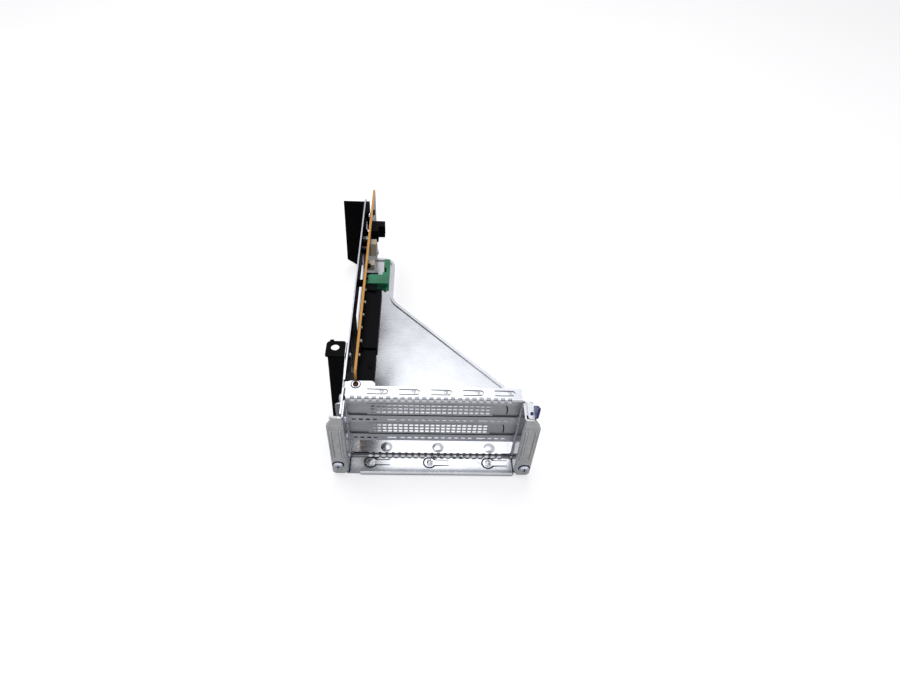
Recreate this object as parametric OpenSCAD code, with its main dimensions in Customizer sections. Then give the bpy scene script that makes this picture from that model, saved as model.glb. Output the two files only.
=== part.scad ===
// Riser cage bracket: a folded sheet-metal cage that holds a riser board and
// three expansion-card slots. It lies on its large floor plate. The slot wall
// faces -Y, the board stands along the left side (-X) and cards go in from +X.
// Origin: middle of the slot wall's outer face, at the underside of the floor plate.

/* [Sheet metal] */
// Thickness of the cage's sheet
sheet_t = 1.0; // [0.8:0.1:1.2]
// Inside radius of every fold
fold_r = 0.5; // [0.4:0.1:0.8]
// Height of the cage, floor to top flange
cage_h = 65.7; // [65.7:0.1:70]
// Width of the slot wall over its two ears
wall_w = 112; // [111:0.5:118]
// Length of the board wall behind the slot wall
board_wall_l = 207.6; // [200:0.1:220]

/* [Slots] */
// Number of card slots
slot_count = 3; // [3]
// Distance from slot to slot
slot_pitch = 20.32; // [20.32]
// Height of the middle of the lowest slot's window
slot_z = 14.31; // [14:0.01:15]
// Height of a slot window
window_h = 12.9; // [12:0.1:13.5]
// Length of a slot window
window_w = 108; // [104:0.5:108]
// Extra height cut below the lowest window
low_window_drop = 3.16; // [0:0.01:3.5]
// Corner radius of a slot window
window_r = 1.6; // [0.5:0.1:3]

/* [Perforations] */
// Pitch of the small slots in the wall
perf_pitch = 4.41; // [4:0.01:5]
// Length of a small slot
perf_l = 2.6; // [2:0.1:3]
// Height of a small slot
perf_h = 1.6; // [1:0.1:2]
// Length of a long slot
perf_long_l = 5.7; // [5:0.1:7]
// Drop from a window's lower edge to the row of slots under it
perf_drop = 4.2; // [3:0.1:4.5]

/* [Top flange] */
// Depth of the top flange behind the wall face
flange_d = 10; // [9:0.5:12]
// Width of the screw tab at the flange's left end
tab_w = 17.5; // [15:0.5:20]
// Depth of the screw tab
tab_d = 14; // [12:0.5:14]
// Number of lanced spring fingers
finger_count = 5; // [3:1:5]
// Pitch of the spring fingers
finger_pitch = 19.8; // [18:0.1:19.8]
// Length of a spring finger
finger_l = 13; // [10:0.5:14]
// Width of a spring finger
finger_w = 3.0; // [2.5:0.1:4]
// Width of the cut around a spring finger
finger_cut = 0.7; // [0.5:0.1:1]

/* [Bottom flange] */
// Reach of the ears and the bottom flange in front of the wall
ear_d = 13; // [12:0.5:15]
// Number of round spring contacts
contact_count = 3; // [1:1:3]
// Pitch of the round contacts
contact_pitch = 39.8; // [30:0.1:40]
// Diameter of a contact's disc
contact_disc = 7; // [6:0.1:7.5]
// Width of the cut around the disc
contact_cut = 1.1; // [0.8:0.1:1.2]
// Length of a contact's spring tongue from the disc's middle
contact_l = 13; // [10:0.5:16]
// Width of the spring tongue
contact_w = 3.5; // [3:0.1:4]

/* [Floor plate] */
// Width of the floor plate's narrow rear end
rear_w = 24.2; // [20:0.1:30]
// Length of the floor plate from the wall to its rear edge
floor_l = 205.5; // [195:0.5:207]
// Where the slanted edge leaves the narrow rear end, from the wall
slant_y = 152.5; // [140:0.5:165]
// Where the slanted edge meets the right side, from the wall
slant_end_y = 61.5; // [50:0.5:75]
// Width of the rim folded flat along the free edge
rim_w = 2.4; // [2:0.1:4]

/* [Filler plates] */
// Thickness of a slot filler
filler_t = 0.9; // [0.8:0.05:1]
// Width of a slot filler
filler_w = 18.42; // [18:0.01:18.5]
// Length of a filler's bent tab
filler_tab = 11.4; // [10:0.1:11.6]
// Columns of mesh holes
mesh_cols = 22; // [10:1:22]
// Rows of mesh holes
mesh_rows = 3; // [3]
// Pitch of the mesh columns
mesh_dx = 3.43; // [3.2:0.01:3.43]
// Pitch of the mesh rows
mesh_dz = 3.2; // [3:0.05:3.4]
// Length of a mesh hole
mesh_l = 2.4; // [2:0.1:2.6]
// Height of a mesh hole
mesh_h = 1.7; // [1.4:0.1:2]

/* [Straps] */
// Width of an end strap
strap_w = 9.5; // [9:0.1:11]
// Height of an end strap
strap_h = 62.6; // [58:0.1:63]
// Diameter of the strap screws' thread
screw_d = 3.5; // [3:0.1:4]
// Diameter of the strap screws' head
screw_head_d = 6.3; // [6:0.1:7]

/* [Riser board] */
// Length of the riser board
board_l = 195; // [185:0.5:200]
// Height of the riser board
board_h = 68; // [66:0.5:70]
// Thickness of the riser board
board_t = 1.6; // [1.2:0.1:2]
// Gap between the board wall and the riser board
board_gap = 5.7; // [5:0.1:7]
// Distance of the board's front edge behind the wall face
board_y = 16; // [15:0.5:20]

/* [Card connector] */
// Height of the connector above the board
conn_h = 11.25; // [11:0.05:12]
// Length of the connector body
conn_l = 56; // [56:0.5:60]
// Thickness of the connector body
conn_t = 7.5; // [7:0.1:8]
// Start of the connector behind the wall face
conn_y = 41.5; // [41:0.1:44]
// Offset of the card's middle plane above the middle of its slot window
card_rise = 7.0; // [6.5:0.05:7.2]
// Contact positions along each side
contact_cols = 49; // [49]
// Width of the card slot in the connector
card_slot = 1.8; // [1.7:0.05:2]

/* [Hidden] */
$fn = 48;
eps = 0.01;

// ---- derived values -------------------------------------------------------
st = sheet_t;
ro = fold_r + st;                       // outside radius of a fold
wall_x = wall_w / 2;                    // outer face of either ear
board_wall_x = -wall_x - st;            // outer face of the board wall
board_x = -wall_x + board_gap;          // back face of the riser board
board_front_x = board_x + board_t;      // face that carries the connectors
board_z = 4;                            // lower edge of the riser board
flange_z = st;                          // underside of the bottom flange
hem_r = 1.5 * st;                       // outside radius of the front hem
hem_back = 1.0;                         // flat length of the hem's upper layer
hem_x0 = -wall_x + 8.5;                 // left end of the front hem
hem_x1 = wall_x - 1.5;                  // right end of the front hem
ear_z0 = 2 * st + 0.6;                  // lower edge of the ears
ear_z1 = cage_h - 2.0;                  // upper edge of the ears
ear_y = -ear_d;                         // front face of the strap flanges
perf_x0 = -wall_x + 5.5;                // first short slot of every row
bend_cols = 23;                         // slots along the top fold
foot_cols = 21;                         // slots along the bottom fold
finger_x0 = -wall_x + 14.2;             // root of the first spring finger
finger_y = 5.8;                         // middle of the fingers
contact_x0 = -wall_x + 14.8;            // middle of the first round contact
contact_y = -5.2;
corner_xy = [-wall_x + 7, 11.1];        // screw of the flange tab
corner_lug_y = [8.9, 14.2];             // board wall's lug under that screw
side_yz = [5.35, 59];                   // screw through the board wall and the wall's lug
side_lug_y = [2.1, 8.6];                // the slot wall's lug for that screw
side_lug_z = 54;                        // lower end of that lug
small_screw_d = 3.0;                    // thread of the small screws
fit = 0.05;                             // radial clearance of pins and screws
strap_screw = [wall_x + 5.3, 10];       // middle of a strap screw, either side
rivet_d = 2.4;
rivet_head = [4.6, 0.8];                // diameter and height of a rivet's head
ear_rivet_y = -5.5;
ear_rivet_z = [12, 34, 52];
clamp_rivet = [wall_x + 6, 52];
bracket_rivet_y = 42;
bracket_rivet_z = [18, 57];
bracket_y = [35, 49];                   // front face and rear edge of the side bracket
bracket_z = [7, 64];
board_holes = [[24, 12], [28, 44], [122, 14], [118, 52], [158, 58], [200, 14]];
standoff_d = 5.5;
standoff_shank = 4.2;
wall_windows = [[[89, 30], [159, 47]], [[44, 35], [50, 50]]];
film_t = 0.2;
film_y = [15, 185];
baffle_y = [186, 205];
baffle_t = 1.2;
baffle_screw = [190, 60];
header_y = 15;                          // start of the power header
header_cols = 6;
header_pitch = 4.1;
header_h = 10.6;
pin_w = 1.0;
card_z = slot_z + (slot_count - 1) * slot_pitch + card_rise;
latch_y = conn_y + conn_l + 9;          // pivot of the card latch
latch_x = board_front_x + 3.6;
latch_pin_d = 2.0;

function slot_mid(i) = slot_z + i * slot_pitch;
function window_low(i) = slot_mid(i) - window_h / 2 - (i == 0 ? low_window_drop : 0);

// ---- outline helpers ------------------------------------------------------
// Unit vector from a to b
function unit(a, b) = (b - a) / norm(b - a);
// Point i of a path moved sideways by d, to the left of the direction of travel
function miter(p, i, d) =
    let (u = unit(p[i - 1], p[i]), v = unit(p[i], p[i + 1]),
         n = [-u[1], u[0]], m = [-v[1], v[0]])
    p[i] + (n + m) * d / (1 + n * m);
// Whole open path moved sideways by d
function shifted(p, d) =
    let (last = len(p) - 1, u = unit(p[0], p[1]), v = unit(p[last - 1], p[last]))
    [for (i = [0:last])
        i == 0 ? p[0] + [-u[1], u[0]] * d :
        i == last ? p[last] + [-v[1], v[0]] * d : miter(p, i, d)];
// Arc that rounds corner b of a-b-c with radius r
function corner_arc(a, b, c, r, steps = 8) =
    let (u = unit(b, a), v = unit(b, c), half = acos(u * v) / 2,
         centre = b + (u + v) / norm(u + v) * r / sin(half),
         p = b + u * r / tan(half) - centre, q = b + v * r / tan(half) - centre,
         turn = p[0] * q[1] - p[1] * q[0] > 0 ? 1 : -1,
         sweep = turn * (180 - 2 * half), start = atan2(p[1], p[0]))
    [for (k = [0:steps]) centre + r * [cos(start + sweep * k / steps),
                                       sin(start + sweep * k / steps)]];
// Path with its inner corners rounded; radii holds one value per inner corner
function rounded(p, radii) = [for (i = [0:len(p) - 1])
    each (i == 0 || i == len(p) - 1) ? [p[i]] :
        corner_arc(p[i - 1], p[i], p[i + 1], radii[i - 1])];
function reversed(p) = [for (i = [len(p) - 1:-1:0]) p[i]];

// Rectangle with round corners, centred
module round_rect(w, h, r) {
    square([w - 2 * r, h], center = true);
    square([w, h - 2 * r], center = true);
    for (sx = [-1, 1], sy = [-1, 1])
        translate([sx * (w / 2 - r), sy * (h / 2 - r)]) circle(r);
}
// Quarter ring of a fold, centred on the fold's axis, in the quadrant sx, sy
module fold_2d(sx, sy, t = st, r = fold_r) intersection() {
    difference() { circle(r + t); circle(r); }
    translate([sx > 0 ? 0 : -r - t, sy > 0 ? 0 : -r - t]) square(r + t);
}
// Rectangle from corner a to corner b
module rect(a, b) translate([min(a[0], b[0]), min(a[1], b[1])])
    square([abs(b[0] - a[0]), abs(b[1] - a[1])]);
// Solid from a YZ outline, between x0 and x1
module along_x(x0, x1) translate([x0, 0, 0]) rotate([90, 0, 90])
    linear_extrude(x1 - x0) children();
// Solid from an XZ outline, between y0 and y1
module along_y(y0, y1) translate([0, y1, 0]) rotate([90, 0, 0])
    linear_extrude(y1 - y0) children();
// Solid from an XY outline, between z0 and z1
module along_z(z0, z1) translate([0, 0, z0]) linear_extrude(z1 - z0) children();
// Round dimple that rises by h from a sheet whose upper face is at z = 0
module dimple(d, h) {
    r = (d * d / 4 + h * h) / (2 * h);
    intersection() {
        difference() {
            translate([0, 0, h - r]) sphere(r);
            translate([0, 0, h - r]) sphere(r - st);
        }
        translate([0, 0, -st]) cylinder(d = d, h = h + st);
    }
}
// Hole that makes room for the hollow underside of a dimple
module dimple_seat(d) translate([0, 0, -st - eps]) cylinder(d = d - 0.6, h = st + 1);

// ---- slot wall ------------------------------------------------------------
module wall_profile() {
    // upright sheet between the two folds
    rect([0, flange_z + ro], [st, cage_h - ro]);
    // top fold and flange, towards the rear
    translate([ro, cage_h - ro]) fold_2d(-1, 1);
    rect([ro, cage_h - st], [flange_d, cage_h]);
    // bottom fold and flange, towards the front
    translate([st - ro, flange_z + ro]) fold_2d(1, -1);
    rect([ear_y + 0.2, flange_z], [st - ro, flange_z + st]);
}
module ear_profile() {
    // from the wall, round the fold, forward along the ear, out to the strap flange
    rect([wall_x - ro - 1.5, 0], [wall_x - ro, st]);
    translate([wall_x - ro, st - ro]) fold_2d(1, 1);
    rect([wall_x - st, st - ro], [wall_x, ear_y + ro]);
    translate([wall_x - st + ro, ear_y + ro]) fold_2d(-1, -1);
    rect([wall_x - st + ro, ear_y], [wall_x + strap_w, ear_y + st]);
}
module perf_row(z, cols, skip = []) for (i = [0:cols - 1])
    if (len(search(i, skip)) == 0)
        translate([perf_x0 + i * perf_pitch, 0, z]) children();
module perf_cut(l, h) cube([l, 6 * st, h], center = true);
module finger_slot() difference() {
    union() {
        translate([0, -finger_w / 2 - finger_cut])
            square([finger_l - finger_w / 2 - finger_cut, finger_w + 2 * finger_cut]);
        translate([finger_l - finger_w / 2 - finger_cut, 0])
            circle(finger_w / 2 + finger_cut);
    }
    translate([-1, -finger_w / 2]) square([finger_l - finger_w / 2 - finger_cut + 1, finger_w]);
    translate([finger_l - finger_w / 2 - finger_cut, 0]) circle(finger_w / 2);
}
module contact_slot() {
    difference() {
        circle(contact_disc / 2 + contact_cut);
        circle(contact_disc / 2);
        translate([0, -contact_w / 2]) square([contact_disc, contact_w]);
    }
    for (s = [-1, 1]) translate([contact_disc / 2, s * (contact_w / 2 + 0.3)])
        translate([0, -0.3]) square([contact_l - contact_disc / 2, 0.6]);
}
module slot_wall() color("lightgray") {
    long_cols = [4.36 + 1, 17.7 + 1];   // middles of the two long slots, in pitches
    difference() {
        union() {
            along_x(-wall_x + ro, wall_x - ro) wall_profile();
            for (s = [0, 1]) mirror([s, 0, 0]) along_z(ear_z0, ear_z1) ear_profile();
            // screw tab at the left end of the top flange
            along_z(cage_h - st, cage_h) {
                rect([-wall_x + ro, flange_d - 1], [-wall_x + ro + tab_w, tab_d - 2.5]);
                rect([-wall_x + ro + 2.5, flange_d - 1],
                     [-wall_x + ro + tab_w - 2.5, tab_d]);
                for (x = [2.5, tab_w - 2.5])
                    translate([-wall_x + ro + x, tab_d - 2.5]) circle(2.5);
            }
            // lug folded down from the tab, held to the board wall by the side screw
            along_y(side_lug_y[0], side_lug_y[1]) {
                translate([-wall_x + ro, cage_h - ro]) fold_2d(-1, 1);
                rect([-wall_x, side_lug_z], [-wall_x + st, cage_h - ro]);
            }
        }
        // the three windows
        for (i = [0:slot_count - 1]) {
            low = window_low(i);
            high = slot_mid(i) + window_h / 2;
            along_y(-2, st + 2) translate([0, (low + high) / 2])
                round_rect(window_w, high - low, window_r);
        }
        // rows of small slots under the upper windows
        for (i = [1:slot_count - 1]) {
            z = slot_mid(i) - window_h / 2 - perf_drop;
            perf_row(z, 24, [4, 5, 6, 18, 19, 23]) perf_cut(perf_l, perf_h);
            for (c = long_cols) translate([perf_x0 + c * perf_pitch, 0, z])
                perf_cut(perf_long_l, perf_h);
        }
        // slots across the two folds
        perf_row(cage_h - 0.9, bend_cols) rotate([45, 0, 0])
            translate([0, 1, 0]) cube([perf_l, 6 * st, 2.2], center = true);
        translate([2 * perf_pitch, 0, 0]) perf_row(flange_z + 1.9, foot_cols)
            rotate([45, 0, 0]) translate([0, 0, 0]) cube([perf_l, 5 * st, 1.8], center = true);
        // spring fingers
        for (i = [0:finger_count - 1])
            translate([finger_x0 + i * finger_pitch, finger_y, cage_h - st - 1])
                linear_extrude(st + 2) finger_slot();
        for (i = [0:finger_count - 1])
            translate([finger_x0 + i * finger_pitch + finger_l - 4, finger_y, cage_h])
                dimple_seat(2.6);
        // round contacts
        for (i = [0:contact_count - 1])
            translate([contact_x0 + i * contact_pitch, contact_y, flange_z - 1])
                linear_extrude(st + 2) contact_slot();
        for (i = [0:contact_count - 1])
            translate([contact_x0 + i * contact_pitch, contact_y, flange_z + st])
                dimple_seat(4);
        // holes for the screws and rivets
        translate([corner_xy[0], corner_xy[1], cage_h - 2 * st])
            cylinder(d = small_screw_d + 0.4, h = 4 * st);
        translate([-wall_x - 1, side_yz[0], side_yz[1]]) rotate([0, 90, 0])
            cylinder(d = small_screw_d + 2 * fit, h = st + 2);
        for (s = [-1, 1]) translate([s * strap_screw[0], ear_y - 1, strap_screw[1]])
            rotate([-90, 0, 0]) cylinder(d = screw_d + 0.4, h = st + 2);
        for (z = ear_rivet_z) translate([-wall_x - 1, ear_rivet_y, z])
            rotate([0, 90, 0]) cylinder(d = rivet_d, h = st + 2);
        translate([clamp_rivet[0], ear_y - 1, clamp_rivet[1]]) rotate([-90, 0, 0])
            cylinder(d = rivet_d, h = st + 2);
    }
    for (i = [0:finger_count - 1])
        translate([finger_x0 + i * finger_pitch + finger_l - 4, finger_y, cage_h])
            dimple(2.6, 0.5);
    for (i = [0:contact_count - 1])
        translate([contact_x0 + i * contact_pitch, contact_y, flange_z + st])
            dimple(4, 0.7);
}

// ---- cage shell: floor plate, front hem and board wall --------------------
free_edge = [[-wall_x + 0.5, floor_l], [board_wall_x + rear_w, floor_l],
    [board_wall_x + rear_w, slant_y], [wall_x - 0.5, slant_end_y]];
free_radii = [10, 15, 4];
free_path = rounded(concat(free_edge, [[wall_x - 0.5, 2.5]]), free_radii);
floor_outline = concat(rounded(concat(free_edge, [[wall_x - 0.5, ear_y + 0.1]]), free_radii),
    [[-wall_x + 0.5, ear_y + 0.1]]);

module floor_plate() {
    along_z(0, st) polygon(floor_outline);
    // rim folded flat along the free edge
    along_z(st, 2 * st) polygon(concat(free_path, reversed(shifted(free_path, -rim_w))));
    // front hem, folded up and back over the slot wall's flange
    along_x(hem_x0, hem_x1) {
        translate([ear_y + 0.1, hem_r]) difference() {
            fold_2d(-1, 1);
        }
        translate([ear_y + 0.1, hem_r]) fold_2d(-1, -1);
        rect([ear_y + 0.1, 2 * hem_r - st], [ear_y + 0.1 + 2 * hem_back, 2 * hem_r]);
    }
}
module board_wall() {
    // fold along the floor plate's left edge
    along_y(ear_y + 0.1, floor_l) translate([-wall_x + 0.5, ro]) fold_2d(-1, -1);
    along_x(board_wall_x, -wall_x) difference() {
        rect([ear_y + ro + 0.1, ro], [board_wall_l, cage_h]);
        // relief above the lug that is folded in from the top edge
        rect([corner_lug_y[0] - 0.5, cage_h - st - ro], [corner_lug_y[1] + 0.5, cage_h + 1]);
        // upper rear corner
        translate([board_wall_l, cage_h]) rotate(45) square(3, center = true);
        for (w = wall_windows) rect(w[0], w[1]);
        // slits for the fillers' tongues
        for (i = [0:slot_count - 1])
            rect([st - 0.1, slot_mid(i) - 5.4], [st + filler_t + 0.1, slot_mid(i) + 5.4]);
    }
    // lug under the flange tab
    along_y(corner_lug_y[0], corner_lug_y[1]) {
        translate([board_wall_x + ro, cage_h - st - ro]) fold_2d(-1, 1);
        rect([board_wall_x + ro, cage_h - 2 * st], [corner_xy[0] + 3.6, cage_h - st]);
    }
}
module cage_shell() color("silver") {
    boss_x = [-31.1, 4.5, 40.2];
    difference() {
        union() {
            floor_plate();
            board_wall();
        }
        for (x = boss_x) translate([x, 7.5, st]) dimple_seat(8);
        for (h = board_holes) translate([board_wall_x - 1, h[0], h[1]]) rotate([0, 90, 0])
            cylinder(d = standoff_shank, h = st + 2);
        for (z = ear_rivet_z) translate([board_wall_x - 1, ear_rivet_y, z])
            rotate([0, 90, 0]) cylinder(d = rivet_d, h = st + 2);
        for (z = bracket_rivet_z) translate([board_wall_x - 1, bracket_rivet_y, z])
            rotate([0, 90, 0]) cylinder(d = rivet_d, h = st + 2);
        translate([board_wall_x - 1, side_yz[0], side_yz[1]]) rotate([0, 90, 0])
            cylinder(d = small_screw_d + 0.4, h = st + 2);
        translate([board_wall_x - 1, baffle_screw[0], baffle_screw[1]]) rotate([0, 90, 0])
            cylinder(d = small_screw_d + 0.4, h = st + 2);
        translate([corner_xy[0], corner_xy[1], cage_h - 3 * st])
            cylinder(d = small_screw_d + 0.4, h = 4 * st);
    }
    for (x = boss_x) translate([x, 7.5, st]) dimple(8, 0.9);
}

// ---- slot fillers ---------------------------------------------------------
module filler(i) color("gainsboro") translate([0, 0, slot_mid(i)]) {
    pan_x = [-41.9, 36.9];
    pan_h = 11.5;
    pan_rise = 0.7;
    y0 = st;
    y1 = st + filler_t;
    left = -wall_x + 1.4;
    fold_in = 0.3;
    first_col = -38.19;
    difference() {
        union() {
            along_z(-filler_w / 2, filler_w / 2) {
                rect([left, y0], [wall_x - fold_in, y1]);
                translate([wall_x - fold_in, y0 - fold_in])
                    fold_2d(1, 1, filler_t, fold_in);
            }
            // tab bent forward beside the ear
            along_x(wall_x, wall_x + filler_t)
                rect([y1 - filler_tab, -filler_w / 2], [y0 - fold_in, filler_w / 2]);
            // tongue that reaches through the board wall
            along_z(-5.08, 5.08) rect([board_wall_x - 1, y0], [left + 1, y1]);
            along_y(y0 - pan_rise, y1) rect([pan_x[0], -pan_h / 2], [pan_x[1], pan_h / 2]);
        }
        along_y(y1 - pan_rise, y1 + 1)
            rect([pan_x[0] + filler_t, -pan_h / 2 + filler_t],
                 [pan_x[1] - filler_t, pan_h / 2 - filler_t]);
        for (c = [0:mesh_cols - 1], r = [0:mesh_rows - 1])
            translate([first_col + c * mesh_dx, st, (r - (mesh_rows - 1) / 2) * mesh_dz])
                cube([mesh_l, 6 * st, mesh_h], center = true);
        // two shallow grooves and a curved slit beside the pan
        for (x = [37.8, 39.7]) translate([x, y0, 0]) cube([0.5, 0.5, pan_h], center = true);
        along_y(y0 - 1, y1 + 1) intersection() {
            translate([26, -2]) difference() { circle(20.6); circle(19.8); }
            translate([40, -4.5]) square([10, 9]);
        }
        // notch for the card screw
        along_x(wall_x - 1, wall_x + 2) {
            rect([y1 - filler_tab - 1, 2.5], [y1 - filler_tab + 4, 6.9]);
            translate([y1 - filler_tab + 4, 4.7]) circle(2.21);
        }
    }
}
module filler_top() filler(2);
module filler_middle() filler(1);

// ---- end straps and the tab clamp -----------------------------------------
strap_y = [ear_y - st, ear_y];
strap_z0 = 2;
module strap(side) color("lightsteelblue") mirror([side < 0 ? 1 : 0, 0, 0]) {
    x0 = wall_x;
    x1 = wall_x + strap_w;
    top = strap_z0 + strap_h;
    rib_x = x1 - 1.9;
    difference() {
        union() {
            along_y(strap_y[0], strap_y[1]) {
                polygon([[x0, strap_z0 + 3], [x1, strap_z0 + 3], [x1, top - 8.4],
                    [x1 - 5, top], [x0, top]]);
                rect([x0 + 3, strap_z0], [x1 - 3, strap_z0 + 3.1]);
                for (x = [x0 + 3, x1 - 3]) translate([x, strap_z0 + 3]) circle(3);
            }
            // pressed ribs
            for (x = [x0 + 1.6, rib_x]) translate([x, strap_y[0], 0]) {
                translate([0, 0, 22]) cylinder(d = 1.4, h = 29);
                for (z = [22, 51]) translate([0, 0, z]) sphere(0.7);
            }
            // rolled hook over the flange's upper edge
            if (side < 0) along_x(x0 + 2.5, x0 + 6.9) translate([ear_y - st / 2, top])
                circle(1);
        }
        translate([strap_screw[0], strap_y[0] - 1, strap_screw[1]]) rotate([-90, 0, 0])
            cylinder(d = screw_d + 0.2, h = st + 2);
        translate([0, ear_y, 0]) along_y(0, 5) rect([x0 - 1, 0], [x1 + 1, top - 0.6]);
    }
}
module strap_left() strap(-1);
module strap_right() strap(1);

clamp_t = st;
clamp_x = wall_x + filler_t;            // web's face against the filler tabs
clamp_y = [ear_y + st, st];
clamp_z = [6, cage_h - 1.6];
stake_xy = [wall_x + 3.75, -8.5];
stake_d = 2;
module tab_clamp() color("gray") {
    r = fold_r + clamp_t;
    difference() {
        union() {
            along_z(clamp_z[0], clamp_z[1] - r) {
                rect([clamp_x, clamp_y[0] + r], [clamp_x + clamp_t, clamp_y[1]]);
                translate([clamp_x + r, clamp_y[0] + r]) fold_2d(-1, -1, clamp_t);
                rect([clamp_x + r, clamp_y[0]],
                     [wall_x + strap_w - 0.5, clamp_y[0] + clamp_t]);
            }
            // ear folded over at the top
            along_y(clamp_y[0] + r, clamp_y[1])
                translate([clamp_x + r, clamp_z[1] - r]) fold_2d(-1, 1, clamp_t);
            along_z(clamp_z[1] - clamp_t, clamp_z[1]) {
                rect([clamp_x + r, clamp_y[0] + r], [wall_x + 5.2, clamp_y[1] - 2]);
                rect([clamp_x + r, clamp_y[1] - 2.1], [wall_x + 3.2, clamp_y[1]]);
                translate([wall_x + 3.2, clamp_y[1] - 2]) circle(2);
            }
        }
        translate([stake_xy[0], stake_xy[1], clamp_z[1] - 2 * clamp_t])
            cylinder(d = stake_d, h = 4 * clamp_t);
        translate([strap_screw[0], clamp_y[0] - 1, strap_screw[1]]) rotate([-90, 0, 0])
            cylinder(d = screw_d + 0.4, h = clamp_t + 2);
        translate([clamp_rivet[0], clamp_y[0] - 1, clamp_rivet[1]]) rotate([-90, 0, 0])
            cylinder(d = rivet_d, h = clamp_t + 2);
    }
}
// Blue touch fin staked to the clamp's ear
module touch_fin() color("navy") {
    top = clamp_z[1];
    fin_x = wall_x + 5.1;
    along_x(fin_x, fin_x + 1.6) polygon([[-3.3, top], [-3.3, top + 0.6], [-7.3, top + 6.6],
        [-13.1, top + 11.8], [-13.1, top + 1.2], [-11.8, top]]);
    along_z(top, top + 1.2) rect([wall_x + 1.6, -10.4], [fin_x + eps, -6.6]);
    translate([stake_xy[0], stake_xy[1], top - clamp_t]) cylinder(d = stake_d, h = clamp_t);
    translate([stake_xy[0], stake_xy[1], top - clamp_t - 0.7]) cylinder(d = 2.6, h = 0.7);
}

// ---- fasteners ------------------------------------------------------------
// Pan-head screw: the head's underside is at z = 0, the thread points to -z
module pan_screw(d, l, head_d, head_h) {
    difference() {
        union() {
            cylinder(d = head_d, h = head_h * 0.55);
            translate([0, 0, head_h * 0.55])
                cylinder(d1 = head_d, d2 = head_d * 0.72, h = head_h * 0.45, $fn = 48);
        }
        for (a = [0, 90]) rotate(a) translate([-head_d * 0.26, -0.35, head_h - 0.9])
            cube([head_d * 0.52, 0.7, 1]);
    }
    translate([0, 0, -l]) cylinder(d = d, h = l);
}
module hex_nut(d, flats, h) difference() {
    cylinder(d = flats / cos(30), h = h, $fn = 6);
    translate([0, 0, -1]) cylinder(d = d + 2 * fit, h = h + 2);
}
module strap_screws() color("silver") for (s = [-1, 1])
    translate([s * strap_screw[0], strap_y[0], strap_screw[1]]) rotate([90, 0, 0])
        pan_screw(screw_d, s < 0 ? 5 : 6, screw_head_d, 2.2);
module strap_nuts() color("silver") for (s = [-1, 1])
    translate([s * strap_screw[0], ear_y + (s < 0 ? st : 2 * st), strap_screw[1]])
        rotate([-90, 0, 0]) rotate(30) hex_nut(screw_d, 6, 2.4);
module corner_screw() color("saddlebrown")
    translate([corner_xy[0], corner_xy[1], cage_h]) pan_screw(small_screw_d, 5, 5.4, 1.6);
module corner_nut() color("silver")
    translate([corner_xy[0], corner_xy[1], cage_h - 2 * st - 2.2])
        hex_nut(small_screw_d, 5.5, 2.2);
module side_screw() color("silver")
    translate([board_wall_x, side_yz[0], side_yz[1]]) rotate([0, -90, 0])
        pan_screw(small_screw_d, 3.6, 6, 2.2);
// Rivet along z through a stack of the given thickness, with a head at each end
module rivet(stack, heads = 2) {
    translate([0, 0, -stack]) cylinder(d = rivet_d, h = stack);
    translate([0, 0, -stack - rivet_head[1]]) cylinder(d = rivet_head[0], h = rivet_head[1]);
    if (heads == 2) cylinder(d = rivet_head[0], h = rivet_head[1]);
}
module rivets() color("gray") {
    for (z = ear_rivet_z) translate([board_wall_x, ear_rivet_y, z])
        rotate([0, -90, 0]) rivet(2 * st);
    for (z = bracket_rivet_z) translate([board_wall_x - bracket_t, bracket_rivet_y, z])
        rotate([0, -90, 0]) rivet(st + bracket_t);
    translate([clamp_rivet[0], ear_y, clamp_rivet[1]]) rotate([90, 0, 0])
        rivet(st + clamp_t, 1);
}

// ---- black side bracket and rear baffle -----------------------------------
bracket_t = 1.0;
bracket_x = -69.2;
bracket_hole = [-65.1, 43.2];
module near_bracket() color([0.09, 0.09, 0.10]) {
    r = fold_r + bracket_t;
    x1 = board_wall_x;
    y0 = bracket_y[0];
    top = bracket_z[1];
    difference() {
        union() {
            // flange on the board wall, front face and the fold between them
            along_z(bracket_z[0], top - r) {
                rect([x1 - bracket_t, y0 + r], [x1, bracket_y[1]]);
                translate([x1 - r, y0 + r]) fold_2d(1, -1, bracket_t);
                rect([bracket_x, y0], [x1 - r, y0 + bracket_t]);
            }
            // tab folded back at the top
            along_x(bracket_x, x1 - r - 1.4) {
                translate([y0 + r, top - r]) fold_2d(-1, 1, bracket_t);
                rect([y0 + r, top - bracket_t], [y0 + r + 1, top]);
            }
            along_z(top - bracket_t, top) {
                rect([bracket_x, y0 + r], [x1 - r - 1.4, bracket_y[1] - 2.4]);
                rect([bracket_x - 1.8, y0 + r + 1], [x1 - r - 1.4, bracket_y[1] - 2.4]);
                rect([bracket_x + 0.6, y0 + r], [x1 - r - 3.8, bracket_y[1]]);
                for (x = [bracket_x + 0.6, x1 - r - 3.8])
                    translate([x, bracket_y[1] - 2.4]) circle(2.4);
                rect([bracket_x + 3, bracket_y[1] - 1], [bracket_x + 5.4, bracket_y[1] + 1]);
            }
        }
        translate([bracket_hole[0], bracket_hole[1], top - 2]) cylinder(d = 5.6, h = 4);
        for (z = bracket_rivet_z) translate([x1 - 2, bracket_rivet_y, z])
            rotate([0, 90, 0]) cylinder(d = rivet_d, h = 4);
    }
}
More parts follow.
